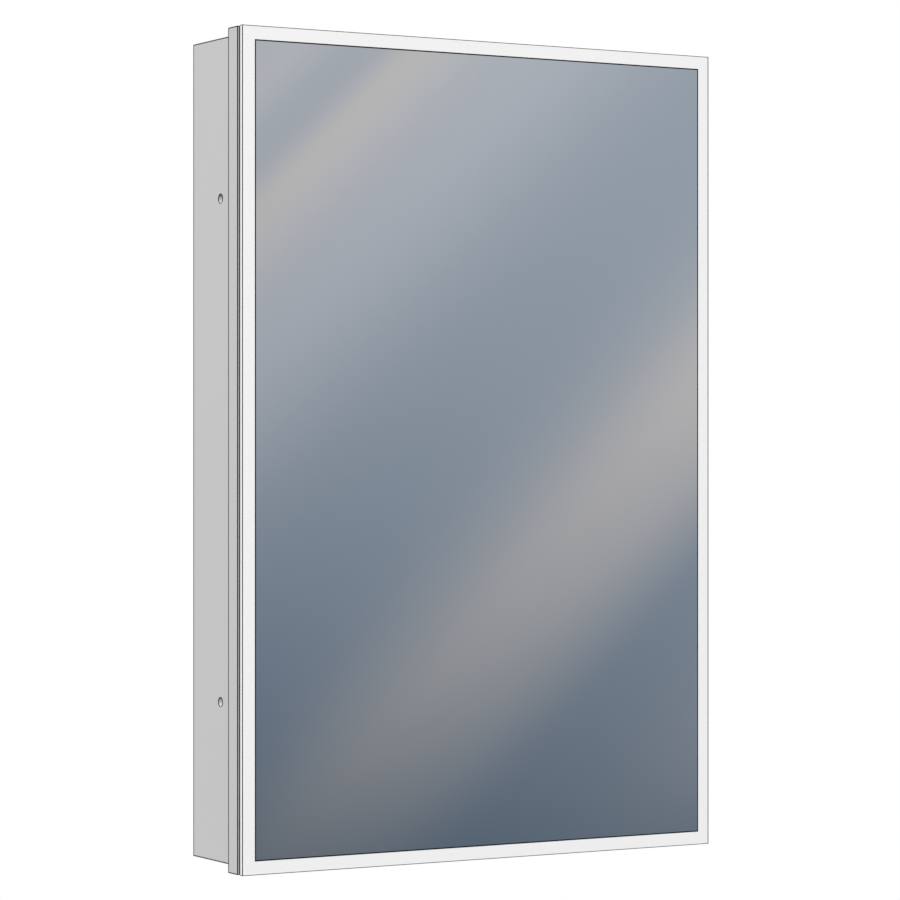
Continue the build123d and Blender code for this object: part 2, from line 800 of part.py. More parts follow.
# Light strips on the floor of the channel
strip_line = (profile_wall + inner_wall_outer) / 2
strip_front = door_front + web_front - strip_thickness
strip_centres = {
    "left": (-door_width / 2 + strip_line, 0),
    "right": (door_width / 2 - strip_line, 0),
    "top": (0, door_height / 2 - strip_line),
    "bottom": (0, -door_height / 2 + strip_line),
}
for side, centre in strip_centres.items():
    length = edge_length(side, door_width, door_height) - 2 * strip_end_setback
    count = int(length // chip_pitch)
    turn = 90 if side in ("left", "right") else 0
    with BuildPart() as led_strip:
        with BuildSketch(front_plane(centre[0], strip_front, centre[1])):
            with Locations(Location((0, 0), turn)):
                Rectangle(length, strip_width)
        extrude(amount=-strip_thickness)
        with BuildSketch(front_plane(centre[0], strip_front, centre[1])):
            with Locations(Location((0, 0), turn)):
                with GridLocations(chip_pitch, strip_width, count, 1):
                    Rectangle(chip_length, chip_width)
        extrude(amount=chip_height)
    write(led_strip.part, f"led_strip_{side}")

# Hinge screws, in the body and in the door
with BuildPart() as base_screws:
    for end in (-1, 1):
        for z in screw_pair(end, base_screw_spacing):
            countersunk_screw((base_middle, body_front, z), (0, 1, 0), front_chamber_end + base_screw_grip)
write(base_screws.part, "base_screws")

with BuildPart() as leaf_screws:
    for end in (-1, 1):
        for z in screw_pair(end, leaf_screw_spacing):
            head_face = (door_width / 2 - flange_outer, door_front + leaf_screw_depth, z)
            countersunk_screw(head_face, (-1, 0, 0), leaf_thickness + profile_wall)
write(leaf_screws.part, "leaf_screws")

# Magnets in the left wall, and the steel plates that they hold
with BuildPart() as catch_magnets:
    with BuildSketch(front_plane(-catch_x, body_front, 0)):
        with Locations([(0, -catch_height), (0, catch_height)]):
            Circle(magnet_flange_radius)
    extrude(amount=magnet_flange_thickness)
    with BuildSketch(front_plane(-catch_x, body_front - magnet_proud, 0)):
        with Locations([(0, -catch_height), (0, catch_height)]):
            Circle(magnet_radius)
    extrude(amount=-magnet_proud - magnet_length)
write(catch_magnets.part, "catch_magnets")

with BuildPart() as strike_plates:
    with BuildSketch(front_plane(-catch_x, door_back, 0)):
        with Locations([(0, -catch_height), (0, catch_height)]):
            RectangleRounded(strike_width, strike_length, strike_thickness)
    extrude(amount=-strike_thickness)
write(strike_plates.part, "strike_plates")

# Soft bumpers at the four corners of the door
with BuildPart() as door_bumpers:
    with BuildSketch(front_plane(0, door_back, 0)):
        with Locations([(x, z) for x in (-bumper_x, bumper_x) for z in (-bumper_height, bumper_height)]):
            Circle(bumper_radius)
    extrude(amount=-bumper_length)
    chamfer(door_bumpers.faces().group_by(Axis.Y)[-1].edges(), bumper_chamfer)
write(door_bumpers.part, "door_bumpers")
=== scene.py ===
import math

import bmesh
import bpy
from mathutils import Matrix, Vector


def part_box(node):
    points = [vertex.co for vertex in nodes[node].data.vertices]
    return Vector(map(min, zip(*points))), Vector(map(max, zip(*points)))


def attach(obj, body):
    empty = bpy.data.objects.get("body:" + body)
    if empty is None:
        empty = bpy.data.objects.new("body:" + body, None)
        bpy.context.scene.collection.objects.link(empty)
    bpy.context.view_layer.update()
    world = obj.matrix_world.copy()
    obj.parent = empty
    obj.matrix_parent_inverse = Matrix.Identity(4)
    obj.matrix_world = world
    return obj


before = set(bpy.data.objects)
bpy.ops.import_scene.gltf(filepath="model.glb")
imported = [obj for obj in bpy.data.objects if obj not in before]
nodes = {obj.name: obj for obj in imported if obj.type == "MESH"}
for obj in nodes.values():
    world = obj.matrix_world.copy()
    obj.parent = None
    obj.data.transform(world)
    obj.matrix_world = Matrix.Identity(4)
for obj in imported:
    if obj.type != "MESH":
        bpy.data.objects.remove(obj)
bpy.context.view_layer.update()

MM = 0.001

# Camera: lens and sensor in millimetres, place in metres, turn about the vertical in degrees
LENS = 136.27
SENSOR = 36.0
CAMERA_PLACE = (-1.6165, -2.8442, 0.0003)
CAMERA_TURN = -30.04

# Light that reaches matt surfaces from all round, and the two soft lamps
AMBIENT = 0.86
KEY_PLACE = (-1.9, -3.0, 1.9)
KEY_POWER = 26.0
FILL_PLACE = (2.3, 1.9, 1.4)
FILL_POWER = 12.0
LAMP_SIZE = 1.6

# Floor below the wall-hung cabinet
FLOOR_DROP = 1.0
FLOOR_REACH = 2.6
FLOOR_FADE = (1.1, 2.3)
FLOOR_CELLS = 8
FLOOR_GRAIN = (9, 9, 9)
FLOOR_TONE = (0.90, 0.92)
FLOOR_ROUGHNESS = 0.6

# Outlines and levels taken from the frame, with the sizes that the boxes of its nodes don't give
border_low, border_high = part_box("light_border")
mirror_low, mirror_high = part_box("mirror_glass")
bar_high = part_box("door_frame_left")[1]
wall_low, wall_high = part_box("body_wall_left")
PROFILE_FRONT = 7.1 * MM
LIP_DEPTH = 3.0 * MM
HOLE_DEPTH = 56.3 * MM
HOLE_HEIGHT = 229.0 * MM
HOLE_RADIUS = 4.15 * MM
BOARD_THICKNESS = 1.0 * MM
BORDER_WIDTH = 12.7 * MM
PLATE_THICKNESS = 4.7 * MM
MITRE_OFFSET = border_high.x - border_high.z
lip_front = border_low.y + PROFILE_FRONT
lip_back = lip_front + LIP_DEPTH

# Widths of the dark lines along edges, joints and holes
FRONT_LINE = 1.1 * MM
SIDE_LINE = 1.6 * MM
STEP_LINE = 0.9 * MM
STEP_LINE_SHIFT = 0.3 * MM
# Painted shade of the shadow gap between the light border and the frame's lip: on the lip, and on the
# border's back edge
LIP_PAINTED_GAP_SHADE = 0.45 * MM
BORDER_PAINTED_GAP_SHADE = 0.8 * MM
BORDER_LINE = 0.75 * MM
BORDER_NEAR_LINE = 0.45 * MM
BORDER_FAR_LINE = 1.4 * MM
BORDER_SIDE_LINE = 1.1 * MM
BORDER_JOINT_LINE = 0.3 * MM
MIRROR_LINE = 0.75 * MM
MITRE_LINE = 0.15 * MM
HOLE_LINE_ACROSS = 1.1 * MM
HOLE_LINE_UP = 0.6 * MM
HOLE_LINE_SHIFT = 0.6 * MM
# Depth of the band of painted shade at the mouth of each screw-hole bore
BORE_MOUTH_PAINTED_SHADE = 0.7 * MM
HAIR = 0.05 * MM

# A face counts as square to an axis above the first value, and as lying across it above the second
SQUARE_ON = 0.9
MOSTLY_ON = 0.5

# Colours, linear
LINE_COLOUR = (0.035, 0.035, 0.037, 1)
# Painted shade in the screw-hole bores, and the strengths of the painted light that runs from dim at their
# top to bright at their foot
BORE_PAINTED_SHADE = (0.03, 0.03, 0.03, 1)
BORE_PAINTED_LIGHT = (0.0, 0.85)
WHITE = (1.0, 1.0, 1.0, 1)

# Detail of fine and of soft noise, and of the noise in clear glass
FINE_DETAIL = 3.0
SOFT_DETAIL = 2.0
CLEAR_DETAIL = 1.0

# Satin anodised extrusions: colour, cells of grain per metre along each direction, changes of tone
ALUMINIUM = (0.575, 0.577, 0.580, 1)
ALUMINIUM_GRAIN = {"X": (9, 2600, 2600), "Z": (2600, 2600, 9)}
ALUMINIUM_GRAIN_TONE = (0.97, 1.03)
ALUMINIUM_CLOUD = (7, 7, 7)
ALUMINIUM_CLOUD_TONE = (-0.01, 0.01)
ALUMINIUM_ROUGHNESS = (0.34, 0.46)
ALUMINIUM_BUMP = 0.08
ALUMINIUM_RELIEF = 0.05 * MM

# Opal plastic of the light border, with painted light on its sides: a lighter colour and a painted glow
OPAL_PAINTED_LIGHT_SIDE = (0.93, 0.93, 0.93, 1)
OPAL_SPECKLE = (700, 700, 700)
OPAL_TONE = (0.87, 0.89)
OPAL_ROUGHNESS = 0.42
OPAL_SCATTER = 0.08
OPAL_SCATTER_DEPTH = 1.5 * MM
OPAL_PAINTED_GLOW = 0.10
OPAL_BUMP = 0.05
OPAL_RELIEF = 0.1 * MM

# Glass of the shelves: clear panes with green ground edges, each from one colour to another
GLASS_INDEX = 1.5
PANE_COLOURS = ((0.955, 0.98, 0.97, 1), (0.975, 0.99, 0.985, 1))
PANE_RIPPLE = (30, 30, 30)
EDGE_COLOURS = ((0.27, 0.50, 0.41, 1), (0.36, 0.60, 0.50, 1))
EDGE_RIPPLE = (60, 60, 60)
EDGE_ROUGHNESS = 0.22
EDGE_CLEARNESS = 0.35

# Plain moulded, painted and metal surfaces: colour, cells of grain per metre, roughness from and to,
# depth of the relief, change of tone where it isn't the usual one, metal, and the nodes that wear
# them. The light chips are faces of the light boards, so they have no node of their own.
USUAL_CONTRAST = 0.04
GRAIN_BUMP = 0.15
FINISHES = {
    "black_rubber": {
        "colour": (0.012, 0.012, 0.013, 1),
        "grain": (900, 900, 900),
        "roughness": (0.62, 0.78),
        "relief": 0.1 * MM,
        "nodes": ("shadow_gasket", "cable_grommet"),
    },
    "bumper_rubber": {
        "colour": (0.30, 0.30, 0.31, 1),
        "grain": (700, 700, 700),
        "roughness": (0.45, 0.60),
        "relief": 0.1 * MM,
        "nodes": ("door_bumpers",),
    },
    "cover_paint": {
        "colour": (0.66, 0.665, 0.67, 1),
        "grain": (1100, 1100, 1100),
        "roughness": (0.38, 0.52),
        "relief": 0.08 * MM,
        "contrast": 0.02,
        "nodes": ("gear_cover", "back_panel"),
    },
    "raw_aluminium": {
        "colour": (0.55, 0.56, 0.57, 1),
        "grain": (400, 400, 60),
        "roughness": (0.36, 0.55),
        "relief": 0.05 * MM,
        "metal": 1.0,
        "nodes": ("body_corner_keys", "frame_corner_keys", "cover_brackets"),
    },
    "galvanised": {
        "colour": (0.52, 0.54, 0.56, 1),
        "grain": (70, 70, 70),
        "roughness": (0.30, 0.50),
        "relief": 0.05 * MM,
        "contrast": 0.12,
        "metal": 1.0,
        "nodes": ("mirror_carrier",),
    },
    "zinc_steel": {
        "colour": (0.58, 0.59, 0.60, 1),
        "grain": (800, 800, 800),
        "roughness": (0.24, 0.38),
        "relief": 0.05 * MM,
        "metal": 1.0,
        "nodes": (
            "base_screws", "cover_screws", "driver_screws", "leaf_screws",
            "strike_plates", "hinge_pin_lower", "hinge_pin_upper",
        ),
    },
    "nickel": {
        "colour": (0.70, 0.69, 0.66, 1),
        "grain": (500, 500, 500),
        "roughness": (0.14, 0.24),
        "relief": 0.03 * MM,
        "metal": 1.0,
        "nodes": (
            "shelf_pins", "catch_magnets",
            "hinge_base_lower", "hinge_base_upper", "hinge_leaf_lower", "hinge_leaf_upper",
        ),
    },
    "white_plastic": {
        "colour": (0.78, 0.78, 0.77, 1),
        "grain": (1300, 1300, 1300),
        "roughness": (0.36, 0.50),
        "relief": 0.06 * MM,
        "contrast": 0.02,
        "nodes": ("led_driver", "switch_housing", "terminal_block"),
    },
    "button_plastic": {
        "colour": (0.84, 0.84, 0.83, 1),
        "grain": (1500, 1500, 1500),
        "roughness": (0.30, 0.40),
        "relief": 0.04 * MM,
        "contrast": 0.02,
        "nodes": ("power_button", "dimmer_button"),
    },
    "light_board": {
        "colour": (0.80, 0.80, 0.78, 1),
        "grain": (600, 600, 600),
        "roughness": (0.35, 0.50),
        "relief": 0.05 * MM,
        "nodes": ("led_strip_left", "led_strip_right", "led_strip_top", "led_strip_bottom"),
    },
    "light_chip": {
        "colour": (0.86, 0.72, 0.30, 1),
        "grain": (900, 900, 900),
        "roughness": (0.25, 0.35),
        "relief": 0.05 * MM,
        "nodes": (),
    },
}
CHIP_GLOW = 0.6
CHIP_GLOW_COLOUR = (1.0, 0.93, 0.78, 1)
CHIP_MARGIN = 0.1 * MM

# Small flat pieces: how far they stand proud, and how deep they reach
PROUD = 0.02 * MM
RECESS_DEPTH = 0.4 * MM
RECESS_REACH = 1.5 * MM
RECESS_HALF = 0.32 * MM
MARK_DEPTH = 0.2 * MM

# Power mark: a broken ring, with its angles in degrees, and a bar
RING_INNER = 2.6 * MM
RING_OUTER = 3.2 * MM
RING_START = 125
RING_END = 415
RING_STEPS = 28
BAR_INNER = 1.0 * MM
BAR_OUTER = 3.8 * MM
BAR_HALF = 0.3 * MM
UPRIGHT = 90

# Dimmer mark: a disc with rays
DISC_RADIUS = 1.7 * MM
DISC_STEPS = 24
RAY_INNER = 2.5 * MM
RAY_OUTER = 3.6 * MM
RAY_HALF = 0.25 * MM
RAY_COUNT = 8

# Seal between the mirror and the light border
SEAL_SETBACK = 0.35 * MM
SEAL_DEPTH = 2.5 * MM
SEAL_WIDTH = 0.15 * MM
SEAL_CLEARANCE = 0.02 * MM

# Points of one solid are joined when they lie closer than this, and solids are put in order by
# places rounded to this many digits
JOIN_DISTANCE = 0.001 * MM
ORDER_DIGITS = 6

# Mirrors: their gloss, and a faint haze
MIRROR_ROUGHNESS = 0.035
HAZE = (5, 5, 5)
HAZE_TONE = (0.99, 1.01)

# Painted reflection of a soft room, put into each mirror's colour: the colour at its foot, what height and
# its square add to it, and the share of the streaks
PAINTED_REFLECTION_BLUE = {
    "foot": (0.047, 0.095, 0.153),
    "rise": (0.455, 0.444, 0.447),
    "bend": (-0.222, -0.216, -0.226),
    "share": 1.0,
}
PAINTED_REFLECTION_SILVER = {
    "foot": (0.46, 0.52, 0.57),
    "rise": (0.30, 0.28, 0.27),
    "bend": (-0.16, -0.13, -0.11),
    "share": 0.25,
}

# Painted reflected streaks across the mirror, towards its lower right: distance from the middle, fading
# length before it and after it, all in metres, the share that is left at the mirror's foot, and tint
REFLECTION_STREAK_SLANT = 46.9
REFLECTION_STREAK_PAINT = (
    (-0.406, 1.0, 0.034, 1.01, (0.105, 0.084, 0.07)),
    (-0.318, 0.021, 0.042, 0.87, (0.101, 0.067, 0.023)),
    (-0.233, 0.167, 0.087, 0.85, (0.109, 0.096, 0.091)),
    (0.128, 0.078, 1.0, 0.33, (0.255, 0.181, 0.104)),
    (0.258, 0.063, 0.124, 0.11, (-0.341, -0.258, -0.175)),
)
# Painted reflection: a tint that changes across the mirror's width
REFLECTION_WIDTH_PAINT = (0.032, 0.045, 0.064)


class Surface:
    """One material and the shader nodes that it is built from."""

    def __init__(self, name, **settings):
        self.material = bpy.data.materials.new(name)
        self.material.use_nodes = True
        self.tree = self.material.node_tree
        self.shader = self.tree.nodes["Principled BSDF"]
        coordinates = self.node("ShaderNodeTexCoord")
        self.place = coordinates.outputs["Object"]
        self.normal = coordinates.outputs["Normal"]
        for key, value in settings.items():
            self.set(key.replace("_", " "), value)

    def node(self, kind, inputs=None, **settings):
        """A new node, with its settings made and its inputs set or linked."""
        made = self.tree.nodes.new(kind)
        for key, value in settings.items():
            setattr(made, key, value)
        for key, value in (inputs or {}).items():
            self.feed(made.inputs[key], value)
        return made

    def feed(self, socket, value):
        """Set a socket to a value, or link another socket to it."""
        if isinstance(value, bpy.types.NodeSocket):
            self.tree.links.new(value, socket)
        else:
            socket.default_value = value

    def set(self, name, value):
        """Set or link one input of the material's shader."""
        self.feed(self.shader.inputs[name], value)

    def math(self, operation, first, second=0.0, third=0.0):
        """The result of one sum."""
        inputs = {0: first, 1: second, 2: third}
        return self.node("ShaderNodeMath", inputs, operation=operation).outputs[0]

    def squares(self, first, second):
        """The sum of two squares."""
        return self.math("ADD", self.math("MULTIPLY", first, first), self.math("MULTIPLY", second, second))

    def mix(self, share, first, second, blend="MIX"):
        """Two colours mixed by a share, through the mix node's sockets for colours."""
        inputs = {0: share, 6: first, 7: second}
        made = self.node("ShaderNodeMix", inputs, data_type="RGBA", blend_type=blend)
        return made.outputs[2]

    def spread(self, value, low, high):
        """A value from 0 to 1 turned into one from low to high."""
        inputs = {"Value": value, "To Min": low, "To Max": high}
        return self.node("ShaderNodeMapRange", inputs).outputs[0]

    def noise(self, scale, detail=FINE_DETAIL):
        """Noise in the object's own space, with cells per metre along each axis."""
        mapping = self.node("ShaderNodeMapping", {"Vector": self.place, "Scale": scale})
        inputs = {"Vector": mapping.outputs[0], "Scale": 1.0, "Detail": detail}
        return self.node("ShaderNodeTexNoise", inputs).outputs[0]

    def bump(self, height, strength, distance):
        """Fine relief from a height."""
        inputs = {"Height": height, "Strength": strength, "Distance": distance}
        self.set("Normal", self.node("ShaderNodeBump", inputs).outputs[0])

    def parts(self, vector):
        """The components of a vector without their signs, and as "right" the first one with it."""
        split = self.node("ShaderNodeSeparateXYZ", {0: vector}).outputs
        found = {axis: self.math("ABSOLUTE", split[i]) for i, axis in enumerate("XYZ")}
        found["right"] = split[0]
        return found

    def edge_lines(self, edges):
        """1 on lines along the given edges, each an axis, a level and a width, and 0 elsewhere."""
        spot = self.parts(self.place)
        facing = self.parts(self.normal)
        mask = 0.0
        for axis, level, width in edges:
            near = self.math("COMPARE", spot[axis], abs(level), width)
            beside = self.math("LESS_THAN", facing["X" if axis == "right" else axis], SQUARE_ON)
            mask = self.math("MAXIMUM", mask, self.math("MULTIPLY", near, beside))
        return mask

    def opening_line(self):
        """1 on a line round the opening of the light border, where it meets the mirror."""
        spot = self.parts(self.place)
        across = self.math("SUBTRACT", spot["X"], border_high.x - BORDER_WIDTH)
        up = self.math("SUBTRACT", spot["Z"], border_high.z - BORDER_WIDTH)
        return self.math("COMPARE", self.math("MAXIMUM", across, up), 0.0, BORDER_JOINT_LINE)

    def mitre_lines(self):
        """1 on the thin joints of mitred corners, on faces that look forward or back."""
        spot = self.parts(self.place)
        across = self.math("SUBTRACT", spot["X"], spot["Z"])
        near = self.math("COMPARE", across, MITRE_OFFSET, MITRE_LINE)
        ahead = self.math("GREATER_THAN", self.parts(self.normal)["Y"], SQUARE_ON)
        return self.math("MULTIPLY", near, ahead)

    def painted_shade_levels(self, levels):
        """1 on faces that look forward at the given levels along Y, where shade is painted."""
        depth = self.parts(self.place)["Y"]
        ahead = self.math("GREATER_THAN", self.parts(self.normal)["Y"], SQUARE_ON)
        mask = 0.0
        for level in levels:
            near = self.math("COMPARE", depth, abs(level), HAIR)
            mask = self.math("MAXIMUM", mask, self.math("MULTIPLY", near, ahead))
        return mask

    def hole_distance(self, across_margin, up_margin, shift=0.0):
        """Distance from the axis of the nearest screw hole, over its radius and the margins."""
        spot = self.parts(self.place)
        along = self.math("SUBTRACT", spot["Y"], HOLE_DEPTH + shift)
        along = self.math("DIVIDE", along, HOLE_RADIUS + across_margin)
        up = self.math("SUBTRACT", spot["Z"], HOLE_HEIGHT)
        up = self.math("DIVIDE", up, HOLE_RADIUS + up_margin)
        return self.math("SQRT", self.squares(along, up))

    def hole_rings(self):
        """1 on the rims of the screw holes in the side walls."""
        distance = self.hole_distance(HOLE_LINE_ACROSS, HOLE_LINE_UP, HOLE_LINE_SHIFT)
        near = self.math("LESS_THAN", distance, 1.0)
        sideways = self.math("GREATER_THAN", self.parts(self.normal)["X"], SQUARE_ON)
        return self.math("MULTIPLY", near, sideways)

    def paint_light_in_hole_bores(self, colour):
        """The colour with painted light in the screw-hole bores, dim at the top and bright at the foot, on
        a dark base, with painted shade at their mouths.
        """
        height = self.node("ShaderNodeSeparateXYZ", {0: self.place}).outputs[2]
        centre = self.math("MULTIPLY", self.math("SIGN", height), HOLE_HEIGHT)
        inputs = {
            "Value": self.math("SUBTRACT", height, centre),
            "From Min": HOLE_RADIUS,
            "From Max": -HOLE_RADIUS,
            "To Min": BORE_PAINTED_LIGHT[0],
            "To Max": BORE_PAINTED_LIGHT[1],
        }
        tone = self.node("ShaderNodeMapRange", inputs).outputs[0]
        within = self.math("LESS_THAN", self.hole_distance(HAIR, HAIR), 1.0)
        deep = self.math("LESS_THAN", self.parts(self.place)["X"], abs(wall_low.x) - BORE_MOUTH_PAINTED_SHADE)
        # Painted light: the bores glow from dim at the top to bright at the foot; their mouths stay in
        # painted shade
        self.set("Emission Color", WHITE)
        self.set("Emission Strength", self.math("MULTIPLY", self.math("MULTIPLY", within, deep), tone))
        return self.mix(within, colour, BORE_PAINTED_SHADE)

    def tinted(self, base, amount, tint):
        """A base colour with an amount of a tint added."""
        inputs = {0: amount, 1: tint, 2: base}
        return self.node("ShaderNodeVectorMath", inputs, operation="MULTIPLY_ADD").outputs[0]

    def grey(self, value):
        """A grey colour from a number."""
        return self.node("ShaderNodeCombineColor", {0: value, 1: value, 2: value}).outputs[0]


def aluminium(name, grain, edges, levels=(), holes=False):
    """Satin anodised extrusion: fine grain along one axis, dark edges, joints, steps and hole rims, painted
    shade by the shadow gap, and painted light in the screw-hole bores.
    """
    surface = Surface(name, Metallic=1.0)
    streaks = surface.noise(ALUMINIUM_GRAIN[grain])
    cloud = surface.noise(ALUMINIUM_CLOUD, SOFT_DETAIL)
    tone = surface.math(
        "ADD",
        surface.spread(streaks, *ALUMINIUM_GRAIN_TONE),
        surface.spread(cloud, *ALUMINIUM_CLOUD_TONE),
    )
    colour = surface.mix(1.0, ALUMINIUM, surface.grey(tone), "MULTIPLY")
    mask = surface.math("MAXIMUM", surface.edge_lines(edges), surface.mitre_lines())
    # Painted shade on the forward faces of the lip by the shadow gap and of its step
    mask = surface.math("MAXIMUM", mask, surface.painted_shade_levels(levels))
    if holes:
        mask = surface.math("MAXIMUM", mask, surface.hole_rings())
        # Painted light and shade in the screw-hole bores
        colour = surface.paint_light_in_hole_bores(colour)
    surface.set("Base Color", surface.mix(mask, colour, LINE_COLOUR))
    surface.set("Roughness", surface.spread(streaks, *ALUMINIUM_ROUGHNESS))
    surface.bump(streaks, ALUMINIUM_BUMP, ALUMINIUM_RELIEF)
    return surface


def mirror(name, painted_surroundings):
    """Silvered glass with a painted reflection of a soft room in its colour: darker towards its foot, with
    slanted warm streaks.
    """
    surface = Surface(name, Metallic=1.0, Roughness=MIRROR_ROUGHNESS)
    split = surface.node("ShaderNodeSeparateXYZ", {0: surface.place}).outputs
    inputs = {"Value": split[2], "From Min": mirror_low.z, "From Max": mirror_high.z}
    height = surface.node("ShaderNodeMapRange", inputs).outputs[0]
    # Painted reflection: the colour rises from the foot towards the top and changes across the width
    reflection_paint = surface.tinted(painted_surroundings["foot"], height, painted_surroundings["rise"])
    reflection_paint = surface.tinted(reflection_paint, surface.math("MULTIPLY", height, height), painted_surroundings["bend"])
    reflection_paint = surface.tinted(reflection_paint, surface.math("MULTIPLY", split[0], painted_surroundings["share"]), REFLECTION_WIDTH_PAINT)

    angle = math.radians(REFLECTION_STREAK_SLANT)
    slant = surface.math(
        "SUBTRACT",
        surface.math("MULTIPLY", split[0], math.cos(angle)),
        surface.math("MULTIPLY", split[2], math.sin(angle)),
    )
    # Painted reflection: slanted warm streaks added to the colour
    for centre, before, after, foot_share, tint in REFLECTION_STREAK_PAINT:
        offset = surface.math("SUBTRACT", slant, centre)
        early = surface.math("DIVIDE", surface.math("MINIMUM", offset, 0.0), before)
        late = surface.math("DIVIDE", surface.math("MAXIMUM", offset, 0.0), after)
        band = surface.math("EXPONENT", surface.math("MULTIPLY", surface.squares(early, late), -1.0))
        kept = surface.spread(height, foot_share * painted_surroundings["share"], painted_surroundings["share"])
        reflection_paint = surface.tinted(reflection_paint, surface.math("MULTIPLY", band, kept), tint)
    haze = surface.spread(surface.noise(HAZE, SOFT_DETAIL), *HAZE_TONE)
    hazy_reflection_paint = surface.mix(1.0, reflection_paint, surface.grey(haze), "MULTIPLY")
    rim = surface.edge_lines((("X", mirror_high.x, MIRROR_LINE), ("Z", mirror_high.z, MIRROR_LINE)))
    surface.set("Base Color", surface.mix(rim, hazy_reflection_paint, LINE_COLOUR))
    return surface


def opal():
    """Diffusing plastic of the light border: a matt front, sides lit by a painted glow and a lighter
    colour, and dark eased corners.
    """
    surface = Surface("opal_plastic", Roughness=OPAL_ROUGHNESS, Subsurface_Weight=OPAL_SCATTER)
    surface.set("Subsurface Radius", (1.0, 1.0, 1.0))
    surface.set("Subsurface Scale", OPAL_SCATTER_DEPTH)
    facing = surface.parts(surface.normal)["Y"]
    forward = surface.math("GREATER_THAN", facing, MOSTLY_ON)
    speckle = surface.spread(surface.noise(OPAL_SPECKLE), *OPAL_TONE)
    # Painted light: the sides are coloured lighter than the front
    body = surface.mix(forward, OPAL_PAINTED_LIGHT_SIDE, surface.grey(speckle))
    lines = surface.edge_lines((
        ("X", border_high.x, BORDER_NEAR_LINE),
        ("right", border_high.x, BORDER_FAR_LINE),
        ("Z", border_high.z, BORDER_LINE),
        ("Y", border_low.y, BORDER_SIDE_LINE),
        # Painted shade of the shadow gap along the plate's back edge
        ("Y", border_low.y + PLATE_THICKNESS, BORDER_PAINTED_GAP_SHADE),
    ))
    lines = surface.math("MAXIMUM", lines, surface.opening_line())
    surface.set("Base Color", surface.mix(lines, body, LINE_COLOUR))
    # Painted light: a faint glow on the plain sides
    painted_glow_faces = surface.math("SUBTRACT", 1.0, surface.math("MAXIMUM", forward, lines))
    surface.set("Emission Color", WHITE)
    surface.set("Emission Strength", surface.math("MULTIPLY", painted_glow_faces, OPAL_PAINTED_GLOW))
    surface.bump(speckle, OPAL_BUMP, OPAL_RELIEF)
    return surface


def grained(name):
    """A plain moulded, painted or metal surface: a grained relief and a slight change of tone."""
    finish = FINISHES[name]
    contrast = finish.get("contrast", USUAL_CONTRAST)
    surface = Surface(name, Metallic=finish.get("metal", 0.0))
    grain = surface.noise(finish["grain"])
    tone = surface.grey(surface.spread(grain, 1.0 - contrast, 1.0 + contrast))
    surface.set("Base Color", surface.mix(1.0, finish["colour"], tone, "MULTIPLY"))
    surface.set("Roughness", surface.spread(grain, *finish["roughness"]))
    surface.bump(grain, GRAIN_BUMP, finish["relief"])
    return surface


def glass(name, roughness, clearness, colours, ripple, detail):
    """Glass with a very slight ripple of tone."""
    surface = Surface(name, IOR=GLASS_INDEX, Roughness=roughness)
    surface.set("Transmission Weight", clearness)
    surface.set("Base Color", surface.mix(surface.noise(ripple, detail), *colours))
    return surface


def dress(surface, *names):
    """Give CAD nodes one material."""
    for name in names:
        mesh = nodes[name].data
        mesh.materials.clear()
        mesh.materials.append(surface.material)


def dress_faces(surface, name, chosen):
    """Give some faces of a CAD node a second material."""
    mesh = nodes[name].data
    mesh.materials.append(surface.material)
    for face in mesh.polygons:
        if chosen(face):
            face.material_index = len(mesh.materials) - 1


def dress_cabinet():
    """Materials of every CAD node."""
    wall_edges = (
        ("Y", wall_high.y, SIDE_LINE),
        ("Z", wall_high.z, FRONT_LINE),
        ("X", wall_low.x, FRONT_LINE),
    )
    bar_edges = (
        ("Y", bar_high.y, SIDE_LINE),
        ("Y", lip_back - STEP_LINE_SHIFT, STEP_LINE),
        # Painted shade of the shadow gap along the lip
        ("Y", lip_front, LIP_PAINTED_GAP_SHADE),
        ("Z", bar_high.z, FRONT_LINE),
    )
    upright_wall = aluminium("body_upright", "Z", wall_edges, holes=True)
    dress(upright_wall, "body_wall_left", "body_wall_right")
    dress(aluminium("body_level", "X", wall_edges), "body_wall_top", "body_wall_bottom")
    # The lip's front and its step get painted shade
    steps = (lip_front, lip_back)
    dress(aluminium("frame_upright", "Z", bar_edges, steps), "door_frame_left", "door_frame_right")
    dress(aluminium("frame_level", "X", bar_edges, steps), "door_frame_top", "door_frame_bottom")
    # Both mirrors carry a painted reflection in their colour
    dress(mirror("front_painted_reflection_mirror", PAINTED_REFLECTION_BLUE), "mirror_glass")
    dress(mirror("silver_painted_reflection_mirror", PAINTED_REFLECTION_SILVER), "inner_mirror", "back_mirror")
    dress(opal(), "light_border")
    pane = glass("shelf_glass", 0.0, 1.0, PANE_COLOURS, PANE_RIPPLE, CLEAR_DETAIL)
    edge = glass("glass_edge", EDGE_ROUGHNESS, EDGE_CLEARNESS, EDGE_COLOURS, EDGE_RIPPLE, SOFT_DETAIL)
    for name in ("shelf_lower", "shelf_middle", "shelf_upper"):
        dress(pane, name)
        dress_faces(edge, name, lambda face: abs(face.normal.z) < SQUARE_ON)

    surfaces = {name: grained(name) for name in FINISHES}
    for name, surface in surfaces.items():
        dress(surface, *FINISHES[name]["nodes"])
    chip = surfaces["light_chip"]
    chip.set("Emission Color", CHIP_GLOW_COLOUR)
    chip.set("Emission Strength", CHIP_GLOW)
    for name in FINISHES["light_board"]["nodes"]:
        chip_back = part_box(name)[1].y - BOARD_THICKNESS - CHIP_MARGIN
        dress_faces(chip, name, lambda face, level=chip_back: face.center.y < level)
    return surfaces


